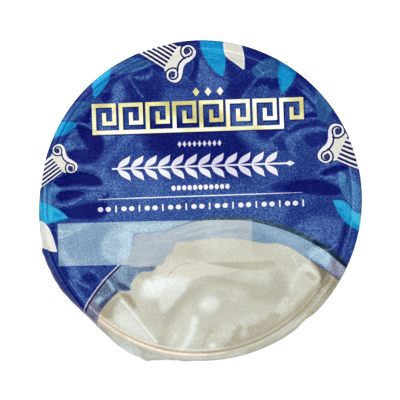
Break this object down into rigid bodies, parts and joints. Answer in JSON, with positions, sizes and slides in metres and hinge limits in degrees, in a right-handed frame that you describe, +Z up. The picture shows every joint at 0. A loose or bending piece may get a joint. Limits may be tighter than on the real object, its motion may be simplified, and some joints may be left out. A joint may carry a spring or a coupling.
{
  "type": "yogurt pot",
  "caption": "Shut round yogurt pot with a tapered plastic body, a flat flange and a printed foil lid whose pull tab is folded down beside it.",
  "frame": {"origin": "centre of the pot's foot, on the plane it stands on", "axes": "+Z up along the pot's axis; seen from above, +X to the right of the lid's print and +Y to its top"},
  "size_m": [0.0964, 0.0964, 0.0462],
  "materials": {
    "printed_plastic": "moulded white plastic pot printed deep blue with a leaf border, semi-gloss",
    "printed_foil": "thin crinkled aluminium foil, printed blue and cream under a satin lacquer"
  },
  "bodies": {
    "root": {"pot": "printed_plastic", "foil_lid": "printed_foil"}
  },
  "joints": []
}
